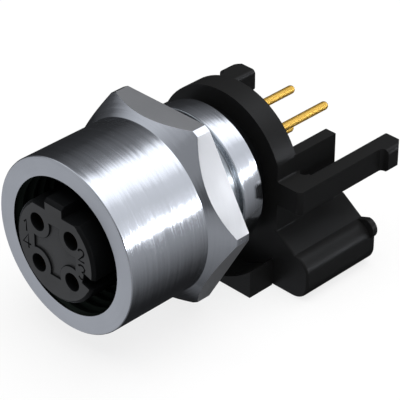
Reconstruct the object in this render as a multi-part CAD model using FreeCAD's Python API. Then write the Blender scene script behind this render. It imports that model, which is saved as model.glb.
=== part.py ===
"""Straight female M12 circuit-board connector, four contacts, A coding.

Units are millimetres. The connector's axis is Y, the mating side faces -Y, the
solder tails point to +Y and +Z is up. The origin is on the axis, in the rear
face of the hexagon, which is the face that seats on the panel.
"""
import FreeCAD, Part
import math
import os
from FreeCAD import Vector

AXIS = Vector(0, 1, 0)

# Fits between the pieces
RUNNING_CLEARANCE = 0.05        # radial, shell over insert
SEAL_CLEARANCE = 0.03           # radial, seal ring to its two walls
CONTACT_CLEARANCE = 0.02        # radial, contact in its cavity
HOLDER_CLEARANCE = 0.03         # radial, holder over the insert's spigot

# Shell, one turned piece of brass
HEX_ACROSS_FLATS = 15.0
HEX_CORNER_RADIUS = 8.5         # the corners are turned off to this radius
HEX_THICKNESS = 2.75            # along the axis, with its front chamfer
NOSE_RADIUS = 7.03
NOSE_FRONT_Y = -10.3
THREAD_MINOR_RADIUS = 5.5       # M12 x 1 internal thread, shown at its crest
THREAD_DEPTH = 7.0
WEB_THICKNESS = 2.5             # inner collar that carries the seal ring
NECK_RADIUS = 5.4               # undercut behind the hexagon
NECK_LENGTH = 2.15
BARREL_RADIUS = 5.88
BARREL_LENGTH = 2.1
SHELL_EDGE_CHAMFER = 0.15
BARREL_EDGE_CHAMFER = 0.2

# Insert, one moulded piece of plastic
INSERT_RADIUS = 4.1             # the part that enters the mating connector
INSERT_FACE_Y = -11.25
RECESS_DEPTH = 0.15             # cross-shaped recess in the face, between the holes
RECESS_HALF_WIDTH = 2.15
RECESS_HOLE_MARGIN = 0.6        # ring left standing round each hole
INSERT_EDGE_CHAMFER = 0.2
KEY_HALF_WIDTH = 0.92           # coding key at the top
KEY_TOP_Z = 4.15
KEY_LENGTH = 7.2
KEY_EDGE_CHAMFER = 0.25
NOTCH_FLOOR_Z = 3.25            # floor of the flats on both sides of the key
SIDE_NOTCH_ANGLE = -16.0        # degrees from +X, seen from the mating side
SIDE_NOTCH_WIDTH = 0.9
SIDE_NOTCH_FLOOR_RADIUS = 3.1
SEAT_RADIUS = 4.35              # step that the seal ring grips
SEAT_LENGTH = 3.3
GUIDE_RADIUS = 4.75             # shoulder that the shell's rear bore runs on
SHOULDER_GAP = 0.05             # along the axis, shoulder to the shell's web

# Seal ring, nitrile rubber
SEAL_SECTION_RADIUS = 0.45
SEAL_GROOVE_WIDTH = 1.2

# Contacts, turned brass with gold plating
CONTACT_CIRCLE_RADIUS = 2.5
CONTACT_ANGLES = {1: 135.0, 2: 45.0, 3: -45.0, 4: -135.0}
FACE_HOLE_RADIUS = 0.7
FACE_HOLE_DEPTH = 1.1
SOCKET_RADIUS = 0.85
SOCKET_BORE_RADIUS = 0.5        # for a 1 mm pin
SOCKET_BORE_DEPTH = 5.5
SOCKET_LENGTH = 7.15
SOCKET_SLOT_WIDTH = 0.2
SHANK_RADIUS = 1.0
TAIL_RADIUS = 0.35
TAIL_END_Y = 15.7

# Holder, one moulded piece of plastic
HOLDER_FRONT_Y = 5.6
PLATE_THICKNESS = 2.0
ARCH_RADIUS = 6.44
PLATE_HALF_WIDTH = 6.0
BOARD_SEAT_Y = 13.2             # the circuit board's face rests here
BOARD_THICKNESS = 1.6
BLOCK_BOTTOM_Z = -8.45
BLOCK_TOP_Z = -3.37
BLOCK_HALF_WIDTH = 9.3
ROOF_SLOPE = 35.0               # degrees, from the plate's side outwards
LEDGE_WIDTH = 1.4               # from the roof's outer end to the block's side
BAND_DROP = 1.1                 # from the roof's outer end down to the band's lower edge
BAND_BULGE = 0.27               # how far the band bows out of its chord
RIM_THICKNESS = 0.5             # rim at the board side, with a bead on each outer corner
BEAD_RADIUS = 0.85
BEAD_PROUD = 0.28               # how far the bead stands out of the block's side
BEAD_RISE = 0.31                # bead's top above the roof's outer end
BLOCK_CORNER_RADIUS = 1.55
BLOCK_EDGE_RADIUS = 0.2         # the block's front edges
BLOCK_WALL = 1.5
POCKET_DEPTH = 5.0              # core pocket behind the block, from the board side
FOOT_FRONT_Y = 3.1
FOOT_HALF_WIDTH = 5.7
FOOT_HOLLOW_RADIUS = 8.3
FOOT_FLOOR_THICKNESS = 0.75     # left standing below the hollow
FIN_THICKNESS = 1.0
FIN_TOP_Z = 2.5
FIN_END_Y = 12.0
ARM_HALF_HEIGHT = 0.97
ARM_THICKNESS = 1.45
ARM_OUTER_X = 8.3
ARM_END_Y = 16.7
ARM_INNER_EDGE_RADIUS = 0.35
ARM_ROOT_LENGTH = 2.1           # from the plate's front to the end of the slot
ARM_ROOT_RADIUS = 0.45          # front outer edge of the arm's root
HOOK_REACH = 0.7
HOOK_EDGE_RADIUS = 0.4
HOOK_NOTCH_RADIUS = 0.3
LEAD_IN_LENGTH = 0.8
LEAD_IN_DEPTH = 0.62
WALL_OVERLAP = 0.2              # how far joined shapes reach into each other

# Places that follow from the sizes
web_front_y = NOSE_FRONT_Y + THREAD_DEPTH
web_rear_y = web_front_y + WEB_THICKNESS
barrel_front_y = NECK_LENGTH
barrel_rear_y = barrel_front_y + BARREL_LENGTH
guide_bore_radius = GUIDE_RADIUS + RUNNING_CLEARANCE
web_bore_radius = SEAT_RADIUS + RUNNING_CLEARANCE
guide_front_y = web_rear_y + SHOULDER_GAP
seat_front_y = guide_front_y - SEAT_LENGTH
plate_rear_y = HOLDER_FRONT_Y + PLATE_THICKNESS
seal_centre_y = (web_front_y + web_rear_y) / 2
seal_inner_radius = SEAT_RADIUS + SEAL_CLEARANCE
seal_centre_radius = seal_inner_radius + SEAL_SECTION_RADIUS
seal_groove_radius = seal_centre_radius + SEAL_SECTION_RADIUS + SEAL_CLEARANCE
socket_front_y = INSERT_FACE_Y + FACE_HOLE_DEPTH
shank_front_y = socket_front_y + SOCKET_LENGTH
catch_y = BOARD_SEAT_Y + BOARD_THICKNESS
roof_end_x = BLOCK_HALF_WIDTH - LEDGE_WIDTH
roof_end_z = BLOCK_TOP_Z - (roof_end_x - PLATE_HALF_WIDTH) * math.tan(math.radians(ROOF_SLOPE))


def cylinder(radius, y0, y1, x=0.0, z=0.0):
    """Round bar along Y from y0 to y1."""
    return Part.makeCylinder(radius, y1 - y0, Vector(x, y0, z), AXIS)


def block(x0, x1, y0, y1, z0, z1):
    """Box between two corners."""
    return Part.makeBox(x1 - x0, y1 - y0, z1 - z0, Vector(x0, y0, z0))


def turned(points):
    """Solid of revolution about Y from (radius, y) points."""
    corners = [Vector(radius, y, 0) for radius, y in points]
    face = Part.Face(Part.makePolygon(corners + corners[:1]))
    return face.revolve(Vector(0, 0, 0), AXIS, 360)


def along_y(edges, y0, y1):
    """Prism along Y from edges drawn in the plane y = y0."""
    face = Part.Face(Part.Wire(edges))
    return face.extrude(Vector(0, y1 - y0, 0))


def line(a, b):
    """Straight edge between two points."""
    return Part.makeLine(a, b)


def arc(a, middle, b):
    """Edge that runs from a through middle to b on a circle."""
    return Part.Arc(a, middle, b).toShape()


def mirrored_pair(shape):
    """The shape joined with its mirror image in the plane x = 0."""
    return shape.fuse(shape.mirror(Vector(0, 0, 0), Vector(1, 0, 0)))


def contact_place(number):
    """Centre of a contact, as x and z."""
    angle = math.radians(CONTACT_ANGLES[number])
    return (CONTACT_CIRCLE_RADIUS * math.cos(angle), CONTACT_CIRCLE_RADIUS * math.sin(angle))


def hexagon_prism(across_flats, y0, y1):
    """Hexagonal bar along Y with flats at the top and the bottom."""
    corner = across_flats / math.sqrt(3)
    corners = []
    for step in range(6):
        angle = math.radians(60 * step)
        corners.append(Vector(corner * math.cos(angle), y0, corner * math.sin(angle)))
    face = Part.Face(Part.makePolygon(corners + corners[:1]))
    return face.extrude(Vector(0, y1 - y0, 0))


def make_shell():
    """Nose, chamfered hexagon, undercut and rear barrel, turned in one piece."""
    front_y = NOSE_FRONT_Y
    chamfer = SHELL_EDGE_CHAMFER
    edge = BARREL_EDGE_CHAMFER
    hex_front_y = -HEX_THICKNESS
    cone_end_y = hex_front_y + HEX_CORNER_RADIUS - NOSE_RADIUS
    groove_front_y = seal_centre_y - SEAL_GROOVE_WIDTH / 2
    groove_rear_y = seal_centre_y + SEAL_GROOVE_WIDTH / 2
    body = turned([
        (THREAD_MINOR_RADIUS, front_y),
        (NOSE_RADIUS - chamfer, front_y),
        (NOSE_RADIUS, front_y + chamfer),
        (NOSE_RADIUS, hex_front_y),
        (HEX_CORNER_RADIUS, cone_end_y),
        (HEX_CORNER_RADIUS, 0),
        (NECK_RADIUS, 0),
        (NECK_RADIUS, barrel_front_y),
        (BARREL_RADIUS - edge, barrel_front_y),
        (BARREL_RADIUS, barrel_front_y + edge),
        (BARREL_RADIUS, barrel_rear_y - edge),
        (BARREL_RADIUS - edge, barrel_rear_y),
        (guide_bore_radius, barrel_rear_y),
        (guide_bore_radius, web_rear_y),
        (web_bore_radius, web_rear_y),
        (web_bore_radius, groove_rear_y),
        (seal_groove_radius, groove_rear_y),
        (seal_groove_radius, groove_front_y),
        (web_bore_radius, groove_front_y),
        (web_bore_radius, web_front_y),
        (THREAD_MINOR_RADIUS, web_front_y),
    ])
    return body.common(hexagon_prism(HEX_ACROSS_FLATS, front_y, barrel_rear_y))


def make_seal():
    """Rubber ring in the shell's inner groove."""
    return Part.makeTorus(
        seal_centre_radius, SEAL_SECTION_RADIUS, Vector(0, seal_centre_y, 0), AXIS)


def face_recess():
    """Cross-shaped recess of the insert's face, which leaves a ring round each hole."""
    half = RECESS_HALF_WIDTH
    floor_y = INSERT_FACE_Y + RECESS_DEPTH
    shape = block(-half, half, INSERT_FACE_Y, floor_y, -half, half)
    ring = FACE_HOLE_RADIUS + RECESS_HOLE_MARGIN
    for number in CONTACT_ANGLES:
        x, z = contact_place(number)
        shape = shape.cut(cylinder(ring, INSERT_FACE_Y, floor_y, x, z))
    return shape


def make_insert():
    """Contact carrier with its coded front, seal seat, guide and rear spigot."""
    face_y = INSERT_FACE_Y
    chamfer = INSERT_EDGE_CHAMFER
    body = turned([
        (0, face_y),
        (INSERT_RADIUS - chamfer, face_y),
        (INSERT_RADIUS, face_y + chamfer),
        (INSERT_RADIUS, seat_front_y),
        (SEAT_RADIUS, seat_front_y),
        (SEAT_RADIUS, guide_front_y),
        (GUIDE_RADIUS, guide_front_y),
        (GUIDE_RADIUS, HOLDER_FRONT_Y),
        (INSERT_RADIUS, HOLDER_FRONT_Y),
        (INSERT_RADIUS, plate_rear_y),
        (0, plate_rear_y),
    ])
    key_rear_y = face_y + KEY_LENGTH
    outer = INSERT_RADIUS + WALL_OVERLAP
    body = body.cut(block(-outer, outer, face_y, key_rear_y, NOTCH_FLOOR_Z, outer))
    slope = KEY_EDGE_CHAMFER
    key_root_z = NOTCH_FLOOR_Z - WALL_OVERLAP
    key_side = [
        Vector(-KEY_HALF_WIDTH, face_y, key_root_z),
        Vector(-KEY_HALF_WIDTH, face_y, KEY_TOP_Z - slope),
        Vector(-KEY_HALF_WIDTH, face_y + slope, KEY_TOP_Z),
        Vector(-KEY_HALF_WIDTH, key_rear_y, KEY_TOP_Z),
        Vector(-KEY_HALF_WIDTH, key_rear_y, key_root_z),
    ]
    key_face = Part.Face(Part.makePolygon(key_side + key_side[:1]))
    body = body.fuse(key_face.extrude(Vector(2 * KEY_HALF_WIDTH, 0, 0)))
    notch = block(
        SIDE_NOTCH_FLOOR_RADIUS, outer, face_y, key_rear_y, -SIDE_NOTCH_WIDTH / 2, SIDE_NOTCH_WIDTH / 2)
    notch.rotate(Vector(0, 0, 0), AXIS, -SIDE_NOTCH_ANGLE)
    body = body.cut(notch)
    body = body.cut(face_recess())
    for number in CONTACT_ANGLES:
        x, z = contact_place(number)
        body = body.cut(cylinder(FACE_HOLE_RADIUS, face_y, socket_front_y, x, z))
        socket_cavity = SOCKET_RADIUS + CONTACT_CLEARANCE
        body = body.cut(cylinder(socket_cavity, socket_front_y, shank_front_y, x, z))
        shank_cavity = SHANK_RADIUS + CONTACT_CLEARANCE
        body = body.cut(cylinder(shank_cavity, shank_front_y, plate_rear_y, x, z))
    return body.removeSplitter()


def make_contact(number):
    """Socket contact with a slotted mouth, a shank and a round solder tail."""
    x, z = contact_place(number)
    socket = cylinder(SOCKET_RADIUS, socket_front_y, shank_front_y)
    shank = cylinder(SHANK_RADIUS, shank_front_y, plate_rear_y)
    tail = cylinder(TAIL_RADIUS, plate_rear_y, TAIL_END_Y - TAIL_RADIUS)
    tip = Part.makeSphere(TAIL_RADIUS, Vector(0, TAIL_END_Y - TAIL_RADIUS, 0))
    body = socket.fuse([shank, tail, tip])
    body = body.cut(cylinder(SOCKET_BORE_RADIUS, socket_front_y, socket_front_y + SOCKET_BORE_DEPTH))
    slot = block(
        -SOCKET_RADIUS, SOCKET_RADIUS, socket_front_y, socket_front_y + SOCKET_BORE_DEPTH,
        -SOCKET_SLOT_WIDTH / 2, SOCKET_SLOT_WIDTH / 2)
    body = body.cut(slot).removeSplitter()
    body.translate(Vector(x, 0, z))
    return body


def plate():
    """Arch-topped plate that carries the insert's spigot."""
    arch = cylinder(ARCH_RADIUS, HOLDER_FRONT_Y, plate_rear_y)
    half = PLATE_HALF_WIDTH
    sides = block(-half, half, HOLDER_FRONT_Y, plate_rear_y, BLOCK_TOP_Z, 0)
    arch_top = arch.cut(block(-ARCH_RADIUS, ARCH_RADIUS, HOLDER_FRONT_Y, plate_rear_y, -ARCH_RADIUS, 0))
    arch_top = arch_top.common(block(-half, half, HOLDER_FRONT_Y, plate_rear_y, 0, ARCH_RADIUS))
    return arch_top.fuse(sides)


def band_outline(spot, sign):
    """Bowed band from the roof's outer end to the block's side, on one side of the block."""
    band_end_z = roof_end_z - BAND_DROP
    chord = math.hypot(LEDGE_WIDTH, BAND_DROP)
    middle_x = roof_end_x + LEDGE_WIDTH / 2 + BAND_BULGE * BAND_DROP / chord
    middle_z = roof_end_z - BAND_DROP / 2 + BAND_BULGE * LEDGE_WIDTH / chord
    roof_end = spot(sign * roof_end_x, roof_end_z)
    band_end = spot(sign * BLOCK_HALF_WIDTH, band_end_z)
    return [arc(roof_end, spot(sign * middle_x, middle_z), band_end)], band_end


def bead_outline(spot, sign):
    """Bead on an outer corner of the rim, from the roof's outer end to the block's side."""
    bead_top_z = roof_end_z + BEAD_RISE
    bead_x = BLOCK_HALF_WIDTH + BEAD_PROUD - BEAD_RADIUS
    bead_z = bead_top_z - BEAD_RADIUS
    side_drop = math.acos((BEAD_RADIUS - BEAD_PROUD) / BEAD_RADIUS)
    roof_end = spot(sign * roof_end_x, roof_end_z)
    bead_top = spot(sign * bead_x, bead_top_z)
    bead_out = spot(sign * (bead_x + BEAD_RADIUS), bead_z)
    bead_end = spot(sign * BLOCK_HALF_WIDTH, bead_z - BEAD_RADIUS * math.sin(side_drop))
    return [line(roof_end, bead_top), arc(bead_top, bead_out, bead_end)], bead_end


def block_outline(y, corner_outline):
    """Section of the lower block: roof, band or bead, side and rounded bottom corner."""
    corner_x = BLOCK_HALF_WIDTH - BLOCK_CORNER_RADIUS
    corner_z = BLOCK_BOTTOM_Z + BLOCK_CORNER_RADIUS
    corner_mid = BLOCK_CORNER_RADIUS * math.sqrt(0.5)

    def spot(x, z):
        return Vector(x, y, z)

    def side(sign):
        top = spot(sign * PLATE_HALF_WIDTH, BLOCK_TOP_Z)
        roof_end = spot(sign * roof_end_x, roof_end_z)
        upper_corner, side_top = corner_outline(spot, sign)
        corner_top = spot(sign * BLOCK_HALF_WIDTH, corner_z)
        corner_out = spot(sign * (corner_x + corner_mid), corner_z - corner_mid)
        corner_end = spot(sign * corner_x, BLOCK_BOTTOM_Z)
        lower_part = [line(side_top, corner_top), arc(corner_top, corner_out, corner_end)]
        return [line(top, roof_end)] + upper_corner + lower_part

    right = side(1)
    left = side(-1)
    top_edge = line(spot(-PLATE_HALF_WIDTH, BLOCK_TOP_Z), spot(PLATE_HALF_WIDTH, BLOCK_TOP_Z))
    bottom_edge = line(spot(corner_x, BLOCK_BOTTOM_Z), spot(-corner_x, BLOCK_BOTTOM_Z))
    return [top_edge] + right + [bottom_edge] + left[::-1]


def is_outer_front_edge(edge):
    """True for the block's front edges outside the plate and above the bottom."""
    box = edge.BoundBox
    in_front = box.YMax < HOLDER_FRONT_Y + BLOCK_EDGE_RADIUS
    nearest_x = PLATE_HALF_WIDTH - BLOCK_EDGE_RADIUS
    outside_plate = box.XMin > nearest_x or box.XMax < -nearest_x
    return in_front and outside_plate


def lower_block():
    """Wide block below the plate that stands on the board, cored from behind."""
    solid = along_y(block_outline(HOLDER_FRONT_Y, band_outline), HOLDER_FRONT_Y, BOARD_SEAT_Y)
    front_edges = [edge for edge in solid.Edges if is_outer_front_edge(edge)]
    solid = solid.makeFillet(BLOCK_EDGE_RADIUS, front_edges)
    rim_front_y = BOARD_SEAT_Y - RIM_THICKNESS
    solid = solid.fuse(along_y(block_outline(rim_front_y, bead_outline), rim_front_y, BOARD_SEAT_Y))
    pocket_half = roof_end_x - BLOCK_WALL - BEAD_RADIUS
    pocket_top_z = BLOCK_TOP_Z - BLOCK_WALL
    pocket_bottom_z = BLOCK_BOTTOM_Z + BLOCK_WALL
    pocket = block(
        -pocket_half, pocket_half, BOARD_SEAT_Y - POCKET_DEPTH, BOARD_SEAT_Y, pocket_bottom_z, pocket_top_z)
    return solid.cut(pocket)


def foot():
    """Lip under the barrel, hollowed round the axis."""
    solid = block(
        -FOOT_HALF_WIDTH, FOOT_HALF_WIDTH, FOOT_FRONT_Y, HOLDER_FRONT_Y, BLOCK_BOTTOM_Z, BLOCK_TOP_Z)
    floor_z = BLOCK_BOTTOM_Z + FOOT_FLOOR_THICKNESS
    hollow = cylinder(FOOT_HOLLOW_RADIUS, FOOT_FRONT_Y, HOLDER_FRONT_Y)
    above_floor = block(
        -FOOT_HOLLOW_RADIUS, FOOT_HOLLOW_RADIUS, FOOT_FRONT_Y, HOLDER_FRONT_Y, floor_z, FOOT_HOLLOW_RADIUS)
    return solid.cut(hollow.common(above_floor))


def fin():
    """Flat rib beside the tails, on the +X side."""
    inner_x = PLATE_HALF_WIDTH - FIN_THICKNESS
    return block(
        inner_x, PLATE_HALF_WIDTH, plate_rear_y - WALL_OVERLAP, FIN_END_Y,
        BLOCK_TOP_Z - WALL_OVERLAP, FIN_TOP_Z)


def arm_root():
    """Root of the +X arm beside the plate, up to the round end of the slot."""
    z0 = -ARM_HALF_HEIGHT
    inner_x = ARM_OUTER_X - ARM_THICKNESS
    root_x = PLATE_HALF_WIDTH - WALL_OVERLAP
    slot_radius = (inner_x - PLATE_HALF_WIDTH) / 2
    slot_x = PLATE_HALF_WIDTH + slot_radius
    slot_end_y = HOLDER_FRONT_Y + ARM_ROOT_LENGTH
    slot_centre_y = slot_end_y + slot_radius
    bow = ARM_ROOT_RADIUS * (1 - math.sqrt(0.5))

    def spot(x, y):
        return Vector(x, y, z0)

    front = spot(root_x, HOLDER_FRONT_Y)
    curve_start = spot(ARM_OUTER_X - ARM_ROOT_RADIUS, HOLDER_FRONT_Y)
    curve_mid = spot(ARM_OUTER_X - bow, HOLDER_FRONT_Y + bow)
    curve_end = spot(ARM_OUTER_X, HOLDER_FRONT_Y + ARM_ROOT_RADIUS)
    outer_rear = spot(ARM_OUTER_X, slot_centre_y)
    slot_start = spot(inner_x, slot_centre_y)
    slot_deep = spot(slot_x, slot_end_y)
    slot_finish = spot(PLATE_HALF_WIDTH, slot_centre_y)
    rear = spot(root_x, slot_centre_y)
    edges = [
        line(front, curve_start),
        arc(curve_start, curve_mid, curve_end),
        line(curve_end, outer_rear),
        line(outer_rear, slot_start),
        arc(slot_start, slot_deep, slot_finish),
        line(slot_finish, rear),
        line(rear, front),
    ]
    return Part.Face(Part.Wire(edges)).extrude(Vector(0, 0, 2 * ARM_HALF_HEIGHT))


def arm_strip():
    """Straight springy part of the +X arm, with rounded inner edges."""
    inner_x = ARM_OUTER_X - ARM_THICKNESS
    slot_radius = (inner_x - PLATE_HALF_WIDTH) / 2
    start_y = HOLDER_FRONT_Y + ARM_ROOT_LENGTH + slot_radius
    half = ARM_HALF_HEIGHT
    bar = block(inner_x, ARM_OUTER_X, start_y, ARM_END_Y, -half, half)
    long_edges = [edge for edge in bar.Edges if runs_along_y(edge)]
    inner_edges = [edge for edge in long_edges if edge.BoundBox.XMax < ARM_OUTER_X - WALL_OVERLAP]
    return bar.makeFillet(ARM_INNER_EDGE_RADIUS, inner_edges)


def runs_along_y(edge):
    """True for an edge that is longest along Y."""
    box = edge.BoundBox
    return box.YLength > box.XLength and box.YLength > box.ZLength


def arm_hook():
    """Hook on the outside of the +X arm, with its lead-in."""
    z0 = -ARM_HALF_HEIGHT
    z1 = ARM_HALF_HEIGHT
    root_x = ARM_OUTER_X - WALL_OVERLAP
    notch = HOOK_NOTCH_RADIUS
    lean = notch * (1 - math.sqrt(0.5))
    hook_x = ARM_OUTER_X + HOOK_REACH

    def spot(x, y):
        return Vector(x, y, z0)

    root = spot(root_x, catch_y - notch)
    notch_start = spot(ARM_OUTER_X, catch_y - notch)
    notch_mid = spot(ARM_OUTER_X + lean, catch_y - lean)
    notch_end = spot(ARM_OUTER_X + notch, catch_y)
    corner = spot(hook_x, catch_y)
    lead_start = spot(hook_x, ARM_END_Y - LEAD_IN_LENGTH)
    lead_end = spot(hook_x - LEAD_IN_DEPTH, ARM_END_Y)
    tip = spot(root_x, ARM_END_Y)
    edges = [
        line(root, notch_start),
        arc(notch_start, notch_mid, notch_end),
        line(notch_end, corner),
        line(corner, lead_start),
        line(lead_start, lead_end),
        line(lead_end, tip),
        line(tip, root),
    ]
    plan = Part.Face(Part.Wire(edges)).extrude(Vector(0, 0, z1 - z0))
    bar = block(root_x - HOOK_REACH, hook_x, catch_y - HOOK_REACH, ARM_END_Y, z0, z1)
    outer_edges = [edge for edge in bar.Edges if runs_along_y(edge) and edge.BoundBox.XMin > root_x]
    return plan.common(bar.makeFillet(HOOK_EDGE_RADIUS, outer_edges))


def latch_arm():
    """Springy arm on the +X side, with its root beside the plate and its hook."""
    return arm_root().fuse([arm_strip(), arm_hook()]).removeSplitter()


def make_holder():
    """Plate, block, foot, fins and latch arms, moulded in one piece."""
    body = plate().fuse([lower_block(), foot(), mirrored_pair(fin()), mirrored_pair(latch_arm())])
    body = body.cut(cylinder(INSERT_RADIUS + HOLDER_CLEARANCE, HOLDER_FRONT_Y, plate_rear_y))
    return body.removeSplitter()


def main():
    """Build every piece and write one STEP file for each."""
    os.makedirs("parts", exist_ok=True)
    pieces = {
        "shell": make_shell(),
        "shell_seal": make_seal(),
        "contact_insert": make_insert(),
        "board_holder": make_holder(),
    }
    for number in CONTACT_ANGLES:
        pieces["contact_%d" % number] = make_contact(number)
    for name, shape in pieces.items():
        shape.exportStep("parts/%s.step" % name)
        print(name, "solids", len(shape.Solids), "valid", shape.isValid(), "volume", round(shape.Volume, 2))


main()
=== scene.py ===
"""Looks of a straight female M12 circuit-board connector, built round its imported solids.

Sizes are in millimetres and become metres when a mesh is finished. The axis of
the connector is Y, the mating side faces -Y and +Z is up. The origin is on the
axis, in the rear face of the hexagon.
"""

import logging
import math
from dataclasses import dataclass
from enum import Enum

import bmesh
import bpy
from mathutils import Matrix, Vector


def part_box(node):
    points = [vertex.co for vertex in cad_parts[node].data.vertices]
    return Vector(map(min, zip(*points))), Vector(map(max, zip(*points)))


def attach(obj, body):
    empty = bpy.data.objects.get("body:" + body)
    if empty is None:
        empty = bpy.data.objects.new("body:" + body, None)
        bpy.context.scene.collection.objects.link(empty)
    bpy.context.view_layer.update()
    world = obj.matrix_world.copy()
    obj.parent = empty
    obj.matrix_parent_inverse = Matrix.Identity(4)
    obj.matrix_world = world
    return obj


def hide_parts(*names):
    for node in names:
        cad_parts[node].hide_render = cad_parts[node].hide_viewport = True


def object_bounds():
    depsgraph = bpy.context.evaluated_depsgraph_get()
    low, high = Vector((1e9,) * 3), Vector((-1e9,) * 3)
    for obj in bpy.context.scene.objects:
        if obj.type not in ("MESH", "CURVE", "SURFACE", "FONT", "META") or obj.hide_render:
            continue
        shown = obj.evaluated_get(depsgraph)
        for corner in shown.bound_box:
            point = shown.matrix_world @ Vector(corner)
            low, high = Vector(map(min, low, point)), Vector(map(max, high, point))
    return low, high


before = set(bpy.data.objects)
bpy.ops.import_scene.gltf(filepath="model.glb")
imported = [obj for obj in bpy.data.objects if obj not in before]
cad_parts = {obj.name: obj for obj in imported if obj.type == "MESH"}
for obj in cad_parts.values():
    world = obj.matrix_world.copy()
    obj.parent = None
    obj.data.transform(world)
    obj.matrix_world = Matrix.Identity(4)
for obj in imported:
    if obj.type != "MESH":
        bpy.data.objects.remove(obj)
CAD_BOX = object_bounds()

MM = 0.001
NOISE_LOW = 0.3                     # a noise seldom leaves the range between these two
NOISE_HIGH = 0.7
WELD_DISTANCE = 0.001               # corners of a solid's mesh that are this near are one
FLAT_ANGLE = 0.4                    # degrees; faces that turn by less become one face
CRISP_ANGLE = 25.0                  # degrees; edges that turn by more are rounded
LOG = logging.getLogger("connector")

Point = tuple[float, float]
Stroke = tuple[Point, ...]
Colour = tuple[float, float, float, float]


class Body(Enum):
    """Moving bodies of the connector."""

    CARRIER = "carrier"
    SEAL = "seal"
    HOUSING = "housing"


class Slot(Enum):
    """Names of the finishes that the log gives for the pieces."""

    NICKEL = "nickel_plated_brass"
    RUBBER = "seal_rubber"
    PLASTIC = "black_plastic"
    GOLD = "gold_plated_brass"


def linear(hex_colour: str) -> Colour:
    """Turn an sRGB colour into the linear one that shaders use.

    Args:
        hex_colour: Colour as "#rrggbb".

    Returns:
        Red, green, blue and an alpha of 1.
    """
    channels = [int(hex_colour[start:start + 2], 16) / 255 for start in (1, 3, 5)]
    red, green, blue = [
        value / 12.92 if value <= 0.04045 else ((value + 0.055) / 1.055) ** 2.4
        for value in channels
    ]
    return (red, green, blue, 1.0)


def add_node(tree: bpy.types.NodeTree, kind: str, inputs: dict | None = None,
             **settings) -> bpy.types.Node:
    """Add one shader node with its settings, values and links.

    Args:
        tree: Node tree that gets the node.
        kind: Blender's type name of the node.
        inputs: Value or output socket for each input, by name or by number.
        **settings: Properties of the node.

    Returns:
        The new node.
    """
    node = tree.nodes.new(kind)
    for key, value in settings.items():
        setattr(node, key, value)
    for key, value in (inputs or {}).items():
        if isinstance(value, bpy.types.NodeSocket):
            tree.links.new(value, node.inputs[key])
        else:
            node.inputs[key].default_value = value
    return node


def surface_material(name: str) -> tuple[bpy.types.Material, bpy.types.NodeTree, bpy.types.Node]:
    """Start a material from an empty tree with one Principled shader.

    Args:
        name: Name of the real finish.

    Returns:
        The material, its node tree and its Principled node.
    """
    material = bpy.data.materials.new(name)
    material.use_nodes = True
    tree = material.node_tree
    tree.nodes.clear()
    shader = add_node(tree, "ShaderNodeBsdfPrincipled")
    add_node(tree, "ShaderNodeOutputMaterial", {"Surface": shader.outputs["BSDF"]})
    return material, tree, shader


def spread_noise(tree: bpy.types.NodeTree, noise: bpy.types.NodeSocket,
                 low: float, high: float) -> bpy.types.NodeSocket:
    """Stretch the part of its range that a noise really uses over two values.

    Args:
        tree: Node tree of the material.
        noise: The noise, from 0 to 1.
        low: Value for the low end.
        high: Value for the high end.

    Returns:
        The stretched noise.
    """
    return add_node(
        tree, "ShaderNodeMapRange",
        {"Value": noise, "From Min": NOISE_LOW, "From Max": NOISE_HIGH, "To Min": low, "To Max": high},
    ).outputs[0]


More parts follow.
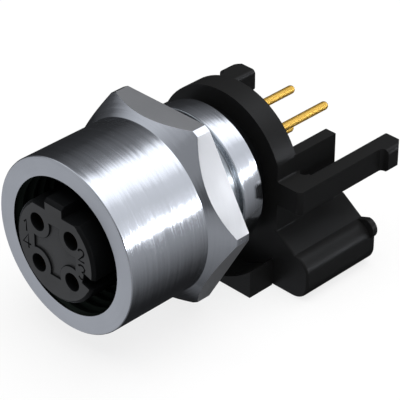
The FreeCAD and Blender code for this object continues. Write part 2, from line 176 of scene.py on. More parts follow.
@dataclass(frozen=True)
class TurnedNickel:
    """Bright nickel plate over turned brass: a mirror with fine rings from the lathe tool."""

    name: str = "nickel_plate_turned"
    colour: str = "#e3e5e9"
    roughness: float = 0.15
    roughness_spread: float = 0.09  # from one ring to the next, which frays the edges of reflections
    line_spacing: float = 0.1       # pitch of the tool marks, drawn coarse enough to show
    line_length: float = 6.0        # how far one mark runs before it fades
    line_depth: float = 0.0012
    chatter: float = 0.025          # sideways tilt of the rings, as a slope
    chatter_spacing: float = 0.23   # pitch of that tilt
    smudge_size: float = 2.5
    smudge: float = 0.04            # change of the roughness from place to place
    stretch: float = 0.0            # how much marks along the axis widen a reflection across it

    def ring_noise(self, tree: bpy.types.NodeTree, place: bpy.types.NodeSocket,
                   spacing: float) -> bpy.types.NodeSocket:
        """Add a noise that changes fast across the tool marks and slowly along them.

        Args:
            tree: Node tree of the material.
            place: Place on the surface.
            spacing: Distance from one mark to the next in millimetres.

        Returns:
            The noise, from 0 to 1.
        """
        parts = add_node(tree, "ShaderNodeSeparateXYZ", {0: place})
        flat = add_node(tree, "ShaderNodeCombineXYZ", {0: parts.outputs[0], 2: parts.outputs[2]})
        radius = add_node(tree, "ShaderNodeVectorMath", {0: flat.outputs[0]}, operation="LENGTH")
        across = add_node(
            tree, "ShaderNodeMath", {0: parts.outputs[1], 1: radius.outputs["Value"]}, operation="ADD")
        stretched = add_node(
            tree, "ShaderNodeMath",
            {0: across.outputs[0], 1: self.line_length / spacing}, operation="MULTIPLY")
        ring_place = add_node(
            tree, "ShaderNodeCombineXYZ",
            {0: parts.outputs[0], 1: stretched.outputs[0], 2: parts.outputs[2]})
        return add_node(
            tree, "ShaderNodeTexNoise",
            {"Vector": ring_place.outputs[0], "Scale": 1 / (self.line_length * MM), "Detail": 2.0},
        ).outputs["Fac"]

    def material(self) -> bpy.types.Material:
        """Build the finish.

        Returns:
            The material.
        """
        material, tree, shader = surface_material(self.name)
        place = add_node(tree, "ShaderNodeTexCoord").outputs["Object"]
        lines = self.ring_noise(tree, place, self.line_spacing)
        bump = add_node(
            tree, "ShaderNodeBump",
            {"Height": lines, "Strength": 1.0, "Distance": self.line_depth * MM})
        tilt = spread_noise(
            tree, self.ring_noise(tree, place, self.chatter_spacing), -self.chatter, self.chatter)
        around = add_node(
            tree, "ShaderNodeVectorMath", {0: (0, 1, 0), 1: bump.outputs[0]}, operation="CROSS_PRODUCT")
        sideways = add_node(
            tree, "ShaderNodeVectorMath",
            {0: around.outputs[0], "Scale": tilt}, operation="SCALE")
        tilted = add_node(
            tree, "ShaderNodeVectorMath", {0: bump.outputs[0], 1: sideways.outputs[0]}, operation="ADD")
        normal = add_node(tree, "ShaderNodeVectorMath", {0: tilted.outputs[0]}, operation="NORMALIZE")
        smudges = add_node(
            tree, "ShaderNodeTexNoise",
            {"Vector": place, "Scale": 1 / (self.smudge_size * MM), "Detail": 3.0})
        by_place = spread_noise(
            tree, smudges.outputs["Fac"], self.roughness - self.smudge, self.roughness + self.smudge)
        by_ring = spread_noise(tree, lines, -self.roughness_spread, self.roughness_spread)
        roughness = add_node(tree, "ShaderNodeMath", {0: by_place, 1: by_ring}, operation="ADD")
        shader.inputs["Base Color"].default_value = linear(self.colour)
        shader.inputs["Metallic"].default_value = 1.0
        if self.stretch:
            along_axis = add_node(tree, "ShaderNodeCombineXYZ", {1: 1.0})
            shader.inputs["Anisotropic"].default_value = self.stretch
            tree.links.new(along_axis.outputs[0], shader.inputs["Tangent"])
        tree.links.new(roughness.outputs[0], shader.inputs["Roughness"])
        tree.links.new(normal.outputs[0], shader.inputs["Normal"])
        return material


@dataclass(frozen=True)
class MouldedPlastic:
    """Glass-filled black polyamide from a spark-eroded mould: satin, with a fine even grain."""

    name: str = "black_polyamide_moulded"
    colour: str = "#202020"
    roughness: float = 0.36
    specular: float = 0.13
    grain_size: float = 0.09        # spark grain, drawn coarse enough to show
    grain_depth: float = 0.004
    cloud_size: float = 3.0         # flow marks of the melt
    cloud: float = 0.07             # change of the roughness along them
    cloud_shade: float = 0.85       # share of the colour that the darkest ones keep

    def material(self) -> bpy.types.Material:
        """Build the finish.

        Returns:
            The material.
        """
        material, tree, shader = surface_material(self.name)
        place = add_node(tree, "ShaderNodeTexCoord").outputs["Object"]
        grain = add_node(
            tree, "ShaderNodeTexNoise",
            {"Vector": place, "Scale": 1 / (self.grain_size * MM), "Detail": 2.0})
        bump = add_node(
            tree, "ShaderNodeBump",
            {"Height": grain.outputs["Fac"], "Strength": 1.0, "Distance": self.grain_depth * MM})
        clouds = add_node(
            tree, "ShaderNodeTexNoise",
            {"Vector": place, "Scale": 1 / (self.cloud_size * MM), "Detail": 2.0})
        roughness = spread_noise(
            tree, clouds.outputs["Fac"], self.roughness - self.cloud, self.roughness + self.cloud)
        plain = linear(self.colour)
        shaded = tuple(self.cloud_shade * channel for channel in plain[:3]) + (1.0,)
        tint = add_node(
            tree, "ShaderNodeMix", {"Factor": clouds.outputs["Fac"], "A": plain, "B": shaded},
            data_type="RGBA")
        shader.inputs["Specular IOR Level"].default_value = self.specular
        tree.links.new(tint.outputs["Result"], shader.inputs["Base Color"])
        tree.links.new(roughness, shader.inputs["Roughness"])
        tree.links.new(bump.outputs[0], shader.inputs["Normal"])
        return material


@dataclass(frozen=True)
class GoldPlate:
    """Thin gold plate over turned brass: warm, bright, with faint drawing lines along the pin."""

    name: str = "gold_plate_on_brass"
    colour: str = "#f4c863"
    roughness: float = 0.52
    wave_size: float = 0.3
    wave_depth: float = 0.0005
    smoother: float = 0.05          # change of the roughness along the waves
    rougher: float = 0.08

    def material(self) -> bpy.types.Material:
        """Build the finish.

        Returns:
            The material.
        """
        material, tree, shader = surface_material(self.name)
        place = add_node(tree, "ShaderNodeTexCoord").outputs["Object"]
        waves = add_node(
            tree, "ShaderNodeTexNoise",
            {"Vector": place, "Scale": 1 / (self.wave_size * MM), "Detail": 3.0})
        bump = add_node(
            tree, "ShaderNodeBump",
            {"Height": waves.outputs["Fac"], "Strength": 1.0, "Distance": self.wave_depth * MM})
        roughness = add_node(
            tree, "ShaderNodeMapRange",
            {"Value": waves.outputs["Fac"], "To Min": self.roughness - self.smoother,
             "To Max": self.roughness + self.rougher})
        shader.inputs["Base Color"].default_value = linear(self.colour)
        shader.inputs["Metallic"].default_value = 1.0
        tree.links.new(roughness.outputs[0], shader.inputs["Roughness"])
        tree.links.new(bump.outputs[0], shader.inputs["Normal"])
        return material


def rounded(corners: list[tuple[float, float, float]], steps: int) -> list[Point]:
    """Round the corners of an open outline.

    Args:
        corners: Points as x, y and the radius that rounds each; the end points stay sharp.
        steps: Number of pieces in each arc.

    Returns:
        The outline's points, with steps + 1 of them at each corner between the ends.
    """
    points: list[Point] = [corners[0][:2]]
    for before, corner, after in zip(corners, corners[1:], corners[2:]):
        here = Vector(corner[:2])
        back = (Vector(before[:2]) - here).normalized()
        ahead = (Vector(after[:2]) - here).normalized()
        half_turn = back.angle(ahead) / 2
        reach = corner[2] / math.tan(half_turn)
        centre = here + (back + ahead).normalized() * corner[2] / math.sin(half_turn)
        start = here + back * reach - centre
        end = here + ahead * reach - centre
        sweep = math.pi - 2 * half_turn
        side = 1.0 if start.x * end.y > start.y * end.x else -1.0
        for step in range(steps + 1):
            angle = side * sweep * step / steps
            cos, sin = math.cos(angle), math.sin(angle)
            points.append((
                centre.x + start.x * cos - start.y * sin,
                centre.y + start.x * sin + start.y * cos,
            ))
    points.append(corners[-1][:2])
    return points


def finish_mesh(name: str, shape: bmesh.types.BMesh, finishes: list[bpy.types.Material],
                sharp_above: float = 30.0) -> bpy.types.Object:
    """Turn a shape in millimetres into a shaded object in metres.

    Args:
        name: Name of the piece.
        shape: The mesh, which is freed here.
        finishes: Materials of the piece, by the material index of its faces.
        sharp_above: Edges that turn by more degrees than this stay crisp.

    Returns:
        The object, linked to the scene.
    """
    bmesh.ops.recalc_face_normals(shape, faces=shape.faces)
    bmesh.ops.transform(shape, matrix=Matrix.Scale(MM, 4), verts=shape.verts)
    for face in shape.faces:
        face.smooth = True
    mesh = bpy.data.meshes.new(name)
    shape.to_mesh(mesh)
    shape.free()
    for stale in ("custom_normal", "sharp_edge"):
        if stale in mesh.attributes:
            mesh.attributes.remove(mesh.attributes[stale])
    mesh.set_sharp_from_angle(angle=math.radians(sharp_above))
    for finish in finishes:
        mesh.materials.append(finish)
    piece = bpy.data.objects.new(name, mesh)
    bpy.context.scene.collection.objects.link(piece)
    evener = piece.modifiers.new("even_shading", "WEIGHTED_NORMAL")
    evener.keep_sharp = True
    return piece


def seat(piece: bpy.types.Object, body: Body, slot: Slot, *nodes: str) -> bpy.types.Object:
    """Put a finished piece on its body and report it.

    Args:
        piece: The piece, in place.
        body: Body that it moves with.
        slot: Name of its finish, which is only logged.
        *nodes: Solids that it stands for.

    Returns:
        The same piece.
    """
    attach(piece, body.value)
    if nodes:
        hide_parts(*nodes)
    LOG.info("%s on %s, finish %s", piece.name, body.value, slot.value)
    return piece


@dataclass
class Shell:
    """Turned shell: nose with its internal thread, chamfered hexagon, undercut and barrel."""

    across_flats: float = 15.0
    corner_radius: float = 8.5
    hex_thickness: float = 2.75
    nose_radius: float = 7.03
    thread_crest_radius: float = 5.5
    thread_pitch: float = 1.0
    thread_height: float = 0.54
    thread_length: float = 7.0
    thread_run_in: float = 0.7      # length over which the thread starts and ends
    web_thickness: float = 2.5
    web_bore_radius: float = 4.4
    groove_radius: float = 5.31
    groove_width: float = 1.2
    guide_bore_radius: float = 4.8
    neck_radius: float = 5.4
    neck_length: float = 2.15
    barrel_radius: float = 5.88
    outer_edge_radius: float = 0.15
    hex_edge_radius: float = 0.07
    inner_edge_radius: float = 0.06
    flat_columns: int = 44          # mesh columns across one flat of the hexagon
    corner_columns: int = 4
    arc_steps: int = 3
    margin: float = 0.02            # tolerance when a face is told from its place
    flat_margin: float = 0.08       # depth below a flat that still belongs to it
    corner_margin: float = 0.001    # a face this near the corner's radius is turned, not milled
    chamfer_facing: float = 0.6     # faces of the flats look less than this along the axis
    weld_distance: float = 0.0005
    sliver_length: float = 0.0002

    def __post_init__(self) -> None:
        """Read the ends of the shell from its solid."""
        low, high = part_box("shell")
        self.front = low.y / MM
        self.rear = high.y / MM
        self.web_front = self.front + self.thread_length
        self.web_rear = self.web_front + self.web_thickness

    def column_angles(self) -> list[float]:
        """Spread the mesh columns over the flats and corners of the hexagon.

        Returns:
            Angles from +Z towards +X, in radians.
        """
        flat_half = math.acos(self.across_flats / 2 / self.corner_radius)
        corner_half = math.pi / 6 - flat_half
        angles = []
        for sector in range(6):
            middle = sector * math.pi / 3
            for column in range(self.flat_columns):
                angles.append(middle + flat_half * (2 * column / self.flat_columns - 1))
            for column in range(self.corner_columns):
                angles.append(middle + flat_half + 2 * corner_half * column / self.corner_columns)
        return angles

    def hexagon_radius(self, angle: float) -> float:
        """Return the distance from the axis to the hexagon's side at an angle."""
        from_flat = (angle + math.pi / 6) % (math.pi / 3) - math.pi / 6
        return min(self.corner_radius, self.across_flats / 2 / math.cos(from_flat))

    def outline(self, angle: float) -> list[Point]:
        """Draw the shell's section at an angle, all but the thread.

        Args:
            angle: Angle from +Z towards +X, in radians.

        Returns:
            Points as radius and y, from the thread's front end round to its rear end.
        """
        hex_front = -self.hex_thickness
        side = self.hexagon_radius(angle)
        groove_middle = (self.web_front + self.web_rear) / 2
        groove_front = groove_middle - self.groove_width / 2
        groove_rear = groove_middle + self.groove_width / 2
        outer, edge, inner = self.outer_edge_radius, self.hex_edge_radius, self.inner_edge_radius
        corners = [
            (self.thread_crest_radius, self.front, 0),
            (self.nose_radius, self.front, outer),
            (self.nose_radius, hex_front, inner),
            (side, hex_front + side - self.nose_radius, edge),
            (side, 0, edge),
            (self.neck_radius, 0, inner),
            (self.neck_radius, self.neck_length, inner),
            (self.barrel_radius, self.neck_length, outer),
            (self.barrel_radius, self.rear, outer),
            (self.guide_bore_radius, self.rear, inner),
            (self.guide_bore_radius, self.web_rear, inner),
            (self.web_bore_radius, self.web_rear, inner),
            (self.web_bore_radius, groove_rear, inner),
            (self.groove_radius, groove_rear, inner),
            (self.groove_radius, groove_front, inner),
            (self.web_bore_radius, groove_front, inner),
            (self.web_bore_radius, self.web_front, inner),
            (self.thread_crest_radius, self.web_front, 0),
        ]
        return rounded(corners, self.arc_steps)

    def thread_height_at(self, place: float, y: float) -> float:
        """Tell how deep the thread is cut at a point of its pitch.

        Args:
            place: Share of the pitch, from 0 at the start of a crest.
            y: Place along the axis, which fades the thread at its two ends.

        Returns:
            Depth below the crest.
        """
        crest_end, root_start, root_end = 0.25, 0.5625, 0.6875
        if place < crest_end:
            share = 0.0
        elif place < root_start:
            share = (place - crest_end) / (root_start - crest_end)
        elif place < root_end:
            share = 1.0
        else:
            share = (1 - place) / (1 - root_end)
        from_end = min(y - self.front, self.web_front - y)
        fade = min(1.0, max(0.0, from_end / self.thread_run_in))
        return self.thread_height * share * fade

    def add_thread(self, shape: bmesh.types.BMesh, angles: list[float]) -> None:
        """Add the helical surface of the thread.

        Args:
            shape: Mesh of the shell.
            angles: Angles of its columns.
        """
        # shares of the pitch with a row of corners, nearer together where crest meets flank
        places = (0.0, 0.06, 0.19, 0.25, 0.31, 0.5, 0.5625, 0.625, 0.6875, 0.75, 0.94)
        rows_per_turn = len(places)
        turns = round(self.thread_length / self.thread_pitch) + 2
        last_row = turns * rows_per_turn
        columns = []
        for angle in angles:
            lead = (angle - angles[0]) / math.tau
            column = []
            for row in range(last_row + 1):
                turn, spot = divmod(row, rows_per_turn)
                y = self.front + self.thread_pitch * (turn - 1 + places[spot] + lead)
                y = min(self.web_front, max(self.front, y))
                radius = self.thread_crest_radius + self.thread_height_at(places[spot], y)
                column.append(shape.verts.new((radius * math.sin(angle), y, radius * math.cos(angle))))
            columns.append(column)
        for number, column in enumerate(columns):
            wraps = number + 1 == len(columns)
            neighbour = columns[(number + 1) % len(columns)]
            for row in range(last_row):
                shift = rows_per_turn if wraps else 0
                near = neighbour[min(row + shift, last_row)]
                far = neighbour[min(row + 1 + shift, last_row)]
                ring = [column[row], column[row + 1], far, near]
                heights = {round(vertex.co.y, 6) for vertex in ring}
                if len(heights) > 1 and len(set(ring)) == 4:
                    shape.faces.new(ring)

    def finish_of(self, face: bmesh.types.BMFace) -> int:
        """Tell the finish of a face of the shell.

        Args:
            face: One face of the mesh, in millimetres.

        Returns:
            Its place in the list of materials.
        """
        turned, milled, faced, bore_painted_shade, undercut = range(5)
        middle = face.calc_center_median()
        radius = math.hypot(middle.x, middle.z)
        side = self.hexagon_radius(math.atan2(middle.x, middle.z))
        if middle.y < self.front + self.margin:
            return faced
        # faces of the thread take the dark colour that is painted shade
        in_thread = radius < self.thread_crest_radius + self.thread_height
        if in_thread and middle.y < self.web_front + self.margin:
            return bore_painted_shade
        # faces of the undercut and of the barrel's front edge take a greyer colour that is painted shade
        behind_hexagon = self.margin / 2 < middle.y < self.neck_length + self.outer_edge_radius
        if behind_hexagon and radius < self.barrel_radius + self.margin / 2:
            return undercut
        on_hexagon = -self.hex_thickness < middle.y < self.margin / 2
        near_side = radius > side - self.flat_margin
        on_flat = near_side and side < self.corner_radius - self.corner_margin
        if on_hexagon and on_flat and abs(face.normal.y) < self.chamfer_facing:
            return milled
        return turned

    def build(self) -> None:
        """Build and dress the shell."""
        shape = bmesh.new()
        angles = self.column_angles()
        columns = [
            [shape.verts.new((r * math.sin(angle), y, r * math.cos(angle)))
             for r, y in self.outline(angle)]
            for angle in angles
        ]
        for number, column in enumerate(columns):
            neighbour = columns[(number + 1) % len(columns)]
            for row in range(len(column) - 1):
                shape.faces.new((column[row], column[row + 1], neighbour[row + 1], neighbour[row]))
        self.add_thread(shape, angles)
        bmesh.ops.remove_doubles(shape, verts=shape.verts, dist=self.weld_distance)
        bmesh.ops.dissolve_degenerate(shape, dist=self.sliver_length, edges=shape.edges)
        for face in shape.faces:
            face.material_index = self.finish_of(face)
        # milled flats have cutter lines along the axis, which smear a reflection sideways
        milled = TurnedNickel(
            name="nickel_plate_on_hexagon", colour="#e5e4e3", roughness=0.57, stretch=0.85,
            roughness_spread=0.03, chatter=0.0, line_depth=0.0004)
        # the faced ring is even and pale, with no rings of its own that show
        faced = TurnedNickel(
            name="nickel_plate_faced", roughness=0.42, roughness_spread=0.03,
            chatter=0.0, line_depth=0.0004)
        # painted shade: the thread in the bore gets a dark greenish colour that stands for the shade
        # inside it, and a dull roughness
        bore_painted_shade = TurnedNickel(
            name="nickel_plate_bore_painted_shade", colour="#3d453e", roughness=0.68, chatter=0.0)
        # painted shade: the undercut behind the hexagon and the barrel's rounded front edge get a greyer
        # colour for the shade they lie in, and a softer roughness than the turned outside
        undercut = TurnedNickel(
            name="nickel_plate_undercut_painted_shade", colour="#aeb2b5", roughness=0.24, chatter=0.0)
        finishes = [TurnedNickel(), milled, faced, bore_painted_shade, undercut]
        piece = finish_mesh(
            "shell_nickel", shape, [finish.material() for finish in finishes], sharp_above=24.0)
        seat(piece, Body.HOUSING, Slot.NICKEL, "shell")


def refined_copy(node: str, edge_radius: float, steps: int = 2) -> bmesh.types.BMesh:
    """Copy a solid's mesh in millimetres and round its edges.

    Args:
        node: Name of the solid.
        edge_radius: Radius of the rounding.
        steps: Pieces in each rounding.

    Returns:
        The rounded mesh.
    """
    shape = bmesh.new()
    shape.from_mesh(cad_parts[node].data)
    bmesh.ops.transform(shape, matrix=Matrix.Scale(1 / MM, 4), verts=shape.verts)
    bmesh.ops.remove_doubles(shape, verts=shape.verts, dist=WELD_DISTANCE)
    bmesh.ops.dissolve_limit(
        shape, angle_limit=math.radians(FLAT_ANGLE), verts=shape.verts, edges=shape.edges)
    crisp = [edge for edge in shape.edges
             if len(edge.link_faces) == 2 and edge.calc_face_angle(0.0) > math.radians(CRISP_ANGLE)]
    bmesh.ops.bevel(
        shape, geom=crisp, offset=edge_radius, offset_type="OFFSET", segments=steps,
        profile=0.5, affect="EDGES", clamp_overlap=True, loop_slide=True)
    # faces that are added to a rounded mesh land in gaps of its memory, in a new order each run,
    # and a fresh copy has no gaps
    rounded_mesh = bpy.data.meshes.new(node + "_rounded")
    shape.to_mesh(rounded_mesh)
    shape.free()
    fresh = bmesh.new()
    fresh.from_mesh(rounded_mesh)
    bpy.data.meshes.remove(rounded_mesh)
    return fresh


@dataclass(frozen=True)
class Numeral:
    """One contact number of the coded face, as strokes in a box one unit high."""

    strokes: tuple[Stroke, ...]
    centre: Point                   # x and z on the face
    height: float


CONTACT_NUMERALS = (
    Numeral((((-0.18, 0.22), (0.06, 0.5), (0.06, -0.5)),), (-3.05, 0.9), 1.0),
    Numeral((((-0.3, 0.26), (-0.2, 0.44), (0.0, 0.5), (0.2, 0.44), (0.29, 0.24), (0.2, 0.02),
              (-0.3, -0.5), (0.32, -0.5)),), (2.85, 1.05), 1.0),
    Numeral((((-0.28, 0.38), (-0.1, 0.5), (0.12, 0.48), (0.27, 0.3), (0.2, 0.1), (0.0, 0.03),
              (0.23, -0.06), (0.3, -0.26), (0.17, -0.45), (-0.08, -0.5), (-0.28, -0.36)),),
            (2.85, -0.4), 1.2),
    Numeral((((0.14, -0.5), (0.14, 0.5), (-0.34, -0.18), (0.36, -0.18)),), (-3.0, -0.4), 1.2),
)


@dataclass
class ContactCarrier:
    """Insert with its coded face, the contact numbers and the four socket contacts."""

    insert_edge: float = 0.06
    contact_edge: float = 0.03
    numeral_width: float = 0.16     # sunk strokes, drawn a little wide so that they show
    recess_depth: float = 0.15
    face_margin: float = 0.005      # depth below the coded face that still belongs to it
    recess_margin: float = 0.01     # and the same for its shallow recess
    least_facing: float = 0.9       # how squarely a face of the coded face looks out

    def numeral_cutter(self, face_y: float) -> bpy.types.Object:
        """Build the round strokes that sink the numerals into the coded face.

        Args:
            face_y: Place of the face in millimetres.

        Returns:
            A temporary object in millimetres.
        """
        pen = bpy.data.curves.new("numeral_strokes", "CURVE")
        pen.dimensions = "3D"
        pen.bevel_depth = self.numeral_width / 2
        pen.bevel_resolution = 2
        pen.use_fill_caps = True
        for numeral in CONTACT_NUMERALS:
            for stroke in numeral.strokes:
                spline = pen.splines.new("POLY")
                spline.points.add(len(stroke) - 1)
                for point, (across, up) in zip(spline.points, stroke):
                    x = numeral.centre[0] + numeral.height * across
                    z = numeral.centre[1] + numeral.height * up
                    point.co = (x, face_y, z, 1.0)
        curve = bpy.data.objects.new("numeral_strokes", pen)
        mesh = bpy.data.meshes.new_from_object(curve)
        bpy.data.objects.remove(curve)
        cutter = bpy.data.objects.new("numeral_cutter", mesh)
        bpy.context.scene.collection.objects.link(cutter)
        return cutter

    def insert_shape(self, face_y: float) -> bmesh.types.BMesh:
        """Copy the insert's mesh in millimetres and cut the numerals into its face.

        Args:
            face_y: Place of the coded face in millimetres.

        Returns:
            The mesh, still to be dressed.
        """
        blank = refined_copy("contact_insert", self.insert_edge)
        mesh = bpy.data.meshes.new("insert_blank")
        blank.to_mesh(mesh)
        blank.free()
        holder = bpy.data.objects.new("insert_blank", mesh)
        bpy.context.scene.collection.objects.link(holder)
        cutter = self.numeral_cutter(face_y)
        engrave = holder.modifiers.new("engrave", "BOOLEAN")
        engrave.operation = "DIFFERENCE"
        engrave.solver = "EXACT"
        engrave.use_self = True
        engrave.object = cutter
        graph = bpy.context.evaluated_depsgraph_get()
        shape = bmesh.new()
        shape.from_object(holder, graph)
        bpy.data.objects.remove(holder)
        bpy.data.objects.remove(cutter)
        return shape

    def build(self) -> None:
        """Build and dress the insert and its contacts."""
        face_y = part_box("contact_insert")[0].y / MM
        shape = self.insert_shape(face_y)
        # painted light and shade: faces of the coded face and its recess floor that look out get a lighter
        # grey for the light they catch, and every other face of the insert (its sides, holes and sunk
        # numerals) a darker black for the shade it lies in
        face_painted_lit, other = 0, 1
        for face in shape.faces:
            depth = face.calc_center_median().y - face_y
            on_face = depth < self.face_margin
            in_recess = abs(depth - self.recess_depth) < self.recess_margin
            looks_out = face.normal.y < -self.least_facing
            face.material_index = face_painted_lit if (on_face or in_recess) and looks_out else other
        insert = finish_mesh("insert_plastic", shape, [
            MouldedPlastic(
                name="black_polyamide_face_painted_lit", colour="#404040", specular=0.5).material(),
            MouldedPlastic(name="black_polyamide_insert_painted_shade", colour="#121314").material(),
        ])
        seat(insert, Body.CARRIER, Slot.PLASTIC, "contact_insert")
        gold = GoldPlate().material()
        for number in range(1, 5):
            contact = finish_mesh(
                "contact_%d_gold" % number, refined_copy("contact_%d" % number, self.contact_edge), [gold])
            seat(contact, Body.CARRIER, Slot.GOLD, "contact_%d" % number)


@dataclass
class BoardHolder:
    """One moulding: arch plate, lower block, foot, fins and latch arms."""

    edge_radius: float = 0.1
    plate_half_width: float = 6.0
    plate_front: float = 5.6
    plate_rear: float = 7.6
    roof_top: float = -3.37
    roof_slope: float = 35.0        # degrees
    arm_top: float = 0.97
    fillet_radius: float = 0.14
    fillet_steps: int = 5
    fillet_inset: float = 0.05      # from the plate's front and rear faces
    fillet_root: float = 0.04       # how far a fillet reaches into the holder

    def add_fillet(self, shape: bmesh.types.BMesh, side: int, corner_z: float,
                   slope: float) -> None:
        """Add the small fillet between the plate's side and a face that runs outwards from it.

        Args:
            shape: Mesh of the holder.
            side: 1 on the +X side and -1 on the other.
            corner_z: Height of the corner between the two faces.
            slope: Degrees by which the outer face drops.
        """
        corner_x = self.plate_half_width
        drop = math.radians(slope)
        bend = [
            (corner_x, corner_z + 1, 0),
            (corner_x, corner_z, self.fillet_radius),
            (corner_x + math.cos(drop), corner_z - math.sin(drop), 0),
        ]
        section = rounded(bend, self.fillet_steps)[1:-1]
        section.append((section[-1][0], section[-1][1] - self.fillet_root))
        section.append((corner_x - self.fillet_root, corner_z - self.fillet_root))
        section.append((section[0][0] - self.fillet_root, section[0][1]))
        front = self.plate_front + self.fillet_inset
        rear = self.plate_rear - self.fillet_inset
        rings = [[shape.verts.new((side * x, y, z)) for x, z in section] for y in (front, rear)]
        for ring in rings:
            shape.faces.new(ring)
        for near, far, far_next, near_next in zip(
                rings[0], rings[1], rings[1][1:] + rings[1][:1], rings[0][1:] + rings[0][:1]):
            shape.faces.new((near, far, far_next, near_next))

    def build(self) -> None:
        """Build and dress the holder."""
        shape = refined_copy("board_holder", self.edge_radius)
        for side in (1, -1):
            self.add_fillet(shape, side, self.roof_top, self.roof_slope)
            self.add_fillet(shape, side, self.arm_top, 0.0)
        holder = finish_mesh("holder_plastic", shape, [MouldedPlastic().material()])
        seat(holder, Body.CARRIER, Slot.PLASTIC, "board_holder")


@dataclass
class SealRing:
    """Rubber ring in the shell's inner groove."""

    def build(self) -> None:
        """Dress the ring."""
        # moulded nitrile rubber is matt and almost black, with one broad soft highlight
        rubber = MouldedPlastic(
            name="nitrile_rubber", colour="#161616", roughness=0.6, specular=0.4).material()
        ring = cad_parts["shell_seal"]
        ring.data.materials.clear()
        ring.data.materials.append(rubber)
        LOG.info("%s on %s, finish %s", ring.name, Body.SEAL.value, Slot.RUBBER.value)


@dataclass
class PhotoCamera:
    """Camera that stands where the reference view was taken from."""

    azimuth: float = 44.87
    elevation: float = 32.96
    distance: float = 160.117
    shift_right: float = 2.451
    shift_up: float = -0.625
    lens: float = 193.2

    def build(self) -> None:
        """Create the camera and make it the scene's own."""
        turn, lift = math.radians(self.azimuth), math.radians(self.elevation)
        level = math.cos(lift)
        back = Vector((math.sin(turn) * level, -math.cos(turn) * level, math.sin(lift)))
        right = Vector((math.cos(turn), math.sin(turn), 0))
        up = back.cross(right)
        camera = bpy.data.objects.new("camera", bpy.data.cameras.new("camera"))
        camera.data.lens = self.lens
        camera.data.clip_start = 10 * MM
        camera.data.clip_end = 2000 * MM
        camera.location = (back * self.distance + right * self.shift_right + up * self.shift_up) * MM
        camera.rotation_mode = "QUATERNION"
        camera.rotation_quaternion = (-back).to_track_quat("-Z", "Y")
        bpy.context.scene.collection.objects.link(camera)
        bpy.context.scene.camera = camera


def seen_directly(tree: bpy.types.NodeTree) -> bpy.types.NodeSocket:
    """Tell the rays of the camera, of reflections and of glass from all others.

    Args:
        tree: Node tree that gets the nodes.

    Returns:
        1 for those rays and 0 for the others.
    """
    path = add_node(tree, "ShaderNodeLightPath").outputs
    seen = path["Is Camera Ray"]
    for other in ("Is Glossy Ray", "Is Transmission Ray"):
        seen = add_node(
            tree, "ShaderNodeMath", {0: seen, 1: path[other]}, operation="MAXIMUM").outputs[0]
    return seen


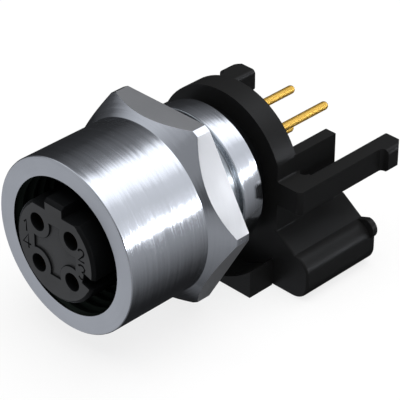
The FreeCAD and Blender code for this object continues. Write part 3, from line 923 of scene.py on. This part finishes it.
@dataclass
class Studio:
    """White floor, one soft lamp, and a tent whose light and dark panels show in the metal."""

    floor_radius: float = 110.0
    floor_sides: int = 96
    floor_fade: float = 40.0
    floor_glow: float = 0.8         # share of its white that shadows don't touch
    tent_radius: float = 400.0
    tent_top: float = 7.0           # brightest panel, where white paper is 1
    tent_tint: str = "#f3f7ff"
    tent_subdivisions: int = 4
    before_ends: float = -0.25      # along Y, as a share of the radius: front panels whole up to here
    behind_starts: float = 0.2      # and rear panels whole from here
    fill: float = 0.35              # brightness of the surroundings as a light

    def floor(self) -> None:
        """Build the floor, which fades out at its rim."""
        shape = bmesh.new()
        bmesh.ops.create_circle(
            shape, cap_ends=True, radius=self.floor_radius, segments=self.floor_sides)
        piece = finish_mesh("floor", shape, [self.floor_material()])
        piece.location.z = CAD_BOX[0].z
        piece.visible_glossy = False
        piece.visible_diffuse = False

    def floor_material(self) -> bpy.types.Material:
        """Mix the matt white of the floor, on which shadows stay faint.

        Returns:
            The material, which turns clear towards the rim.
        """
        material, tree, shader = surface_material("white_paper_floor")
        shader.inputs["Base Color"].default_value = linear("#ffffff")
        shader.inputs["Roughness"].default_value = 0.9
        shader.inputs["Specular IOR Level"].default_value = 0.0
        share = add_node(
            tree, "ShaderNodeMath", {0: seen_directly(tree), 1: self.floor_glow}, operation="MULTIPLY")
        white = add_node(tree, "ShaderNodeEmission", {"Color": linear("#ffffff"), "Strength": 1.0})
        paper = add_node(
            tree, "ShaderNodeMixShader",
            {0: share.outputs[0], 1: shader.outputs[0], 2: white.outputs[0]})
        place = add_node(tree, "ShaderNodeTexCoord").outputs["Object"]
        far = add_node(tree, "ShaderNodeVectorMath", {0: place}, operation="LENGTH")
        fade = add_node(
            tree, "ShaderNodeMapRange",
            {"Value": far.outputs["Value"], "From Min": (self.floor_radius - self.floor_fade) * MM,
             "From Max": self.floor_radius * MM, "To Min": 0.0, "To Max": 1.0},
            interpolation_type="SMOOTHSTEP")
        clear = add_node(tree, "ShaderNodeBsdfTransparent")
        whole = add_node(
            tree, "ShaderNodeMixShader", {0: fade.outputs[0], 1: paper.outputs[0], 2: clear.outputs[0]})
        output = next(node for node in tree.nodes if node.type == "OUTPUT_MATERIAL")
        tree.links.new(whole.outputs[0], output.inputs["Surface"])
        return material

    def world(self) -> None:
        """Build the white surroundings."""
        world = bpy.data.worlds.new("white_surroundings")
        world.use_nodes = True
        tree = world.node_tree
        tree.nodes.clear()
        strength = add_node(
            tree, "ShaderNodeMapRange",
            {"Value": seen_directly(tree), "To Min": self.fill, "To Max": 1.0})
        light = add_node(
            tree, "ShaderNodeBackground",
            {"Color": linear("#ffffff"), "Strength": strength.outputs[0]})
        add_node(tree, "ShaderNodeOutputWorld", {"Surface": light.outputs[0]})
        bpy.context.scene.world = world

    def lamp(self, name: str, place: Point, height: float, size: float, power: float) -> None:
        """Hang one square soft lamp that looks at the connector.

        Args:
            name: Name of the lamp.
            place: Its x and y in millimetres.
            height: Its z in millimetres.
            size: Side of the lamp in millimetres.
            power: Its power in watts.
        """
        data = bpy.data.lights.new(name, "AREA")
        data.shape = "SQUARE"
        data.size = size * MM
        data.energy = power
        lamp = bpy.data.objects.new(name, data)
        lamp.location = Vector((place[0], place[1], height)) * MM
        lamp.rotation_mode = "QUATERNION"
        lamp.rotation_quaternion = (-lamp.location).to_track_quat("-Z", "Y")
        lamp.visible_camera = False
        lamp.visible_glossy = False
        bpy.context.scene.collection.objects.link(lamp)

    def tent(self) -> None:
        """Build the tent that only shiny surfaces see."""
        shape = bmesh.new()
        bmesh.ops.create_icosphere(shape, subdivisions=self.tent_subdivisions, radius=self.tent_radius)
        piece = finish_mesh("reflection_tent", shape, [self.tent_material()])
        piece.visible_camera = False
        piece.visible_diffuse = False
        piece.visible_shadow = False
        piece.visible_transmission = False

    def panel_ramp(self, tree: bpy.types.NodeTree, share: bpy.types.NodeSocket,
                   panels: tuple[tuple[float, float], ...]) -> bpy.types.NodeSocket:
        """Turn an angle round the axis into the brightness of the tent.

        Args:
            tree: Node tree of the tent.
            share: Angle from -180 to 180 degrees, as 0 to 1.
            panels: Angle in degrees from +Z towards +X, and brightness there.

        Returns:
            The brightness as a colour, where white is the brightest level.
        """
        ramp = add_node(tree, "ShaderNodeValToRGB", {0: share})
        elements = ramp.color_ramp.elements
        while len(elements) < len(panels):
            elements.new(0.5)
        tint = linear(self.tent_tint)
        for element, (degrees, level) in zip(elements, panels):
            element.position = (degrees + 180) / 360
            share_of_top = level / self.tent_top
            element.color = tuple(share_of_top * channel for channel in tint[:3]) + (1.0,)
        return ramp.outputs[0]

    def tent_material(self) -> bpy.types.Material:
        """Paint the tent with strips of light and dark that run along the connector's axis.

        Returns:
            A glowing material with one row of strips before the connector and one behind it.
        """
        material = bpy.data.materials.new("tent_panels")
        material.use_nodes = True
        tree = material.node_tree
        tree.nodes.clear()
        place = add_node(tree, "ShaderNodeTexCoord").outputs["Object"]
        parts = add_node(tree, "ShaderNodeSeparateXYZ", {0: place})
        angle = add_node(
            tree, "ShaderNodeMath", {0: parts.outputs[0], 1: parts.outputs[2]}, operation="ARCTAN2")
        share = add_node(
            tree, "ShaderNodeMapRange",
            {"Value": angle.outputs[0], "From Min": -math.pi, "From Max": math.pi}).outputs[0]
        behind = self.panel_ramp(tree, share, (
            (-180, 0.015), (-92, 0.025), (-66, 0.04), (-47, 0.1), (-27, 0.19), (-16, 0.4), (-4, 1.5),
            (10, 1.6), (23, 1.4), (35, 0.78), (52, 0.7), (64, 0.85), (74, 1.2),
            (76, 7.0), (82, 7.0), (84, 1.2), (90, 0.4),
            (112, 0.27), (132, 0.15), (152, 0.055), (172, 0.018),
        ))
        before = self.panel_ramp(tree, share, (
            (-180, 0.22), (-150, 0.49), (-110, 0.47), (-92, 0.12), (-78, 0.1), (-58, 0.46), (-45, 0.6),
            (-28, 0.62), (-10, 0.45), (10, 0.29), (50, 0.27), (72, 0.1), (86, 0.1),
            (95, 0.25), (115, 0.31), (132, 0.27), (155, 0.18), (172, 0.14),
        ))
        side = add_node(
            tree, "ShaderNodeMapRange",
            {"Value": parts.outputs[1], "From Min": self.before_ends * self.tent_radius * MM,
             "From Max": self.behind_starts * self.tent_radius * MM},
            interpolation_type="SMOOTHSTEP")
        both = add_node(
            tree, "ShaderNodeMix", {"Factor": side.outputs[0], "A": before, "B": behind}, data_type="RGBA")
        glow = add_node(
            tree, "ShaderNodeEmission", {"Color": both.outputs["Result"], "Strength": self.tent_top})
        add_node(tree, "ShaderNodeOutputMaterial", {"Surface": glow.outputs[0]})
        return material

    def build(self) -> None:
        """Build the floor, the lamp, the tent and the surroundings."""
        self.floor()
        self.world()
        self.tent()
        self.lamp("overhead_lamp", place=(30, 30), height=380, size=420, power=1.55)


def main() -> None:
    """Build the connector and its studio."""
    logging.basicConfig(level=logging.INFO, format="%(message)s")
    bpy.context.scene.view_settings.view_transform = "Standard"
    PhotoCamera().build()
    Shell().build()
    ContactCarrier().build()
    BoardHolder().build()
    SealRing().build()
    Studio().build()


if __name__ == "__main__":
    main()
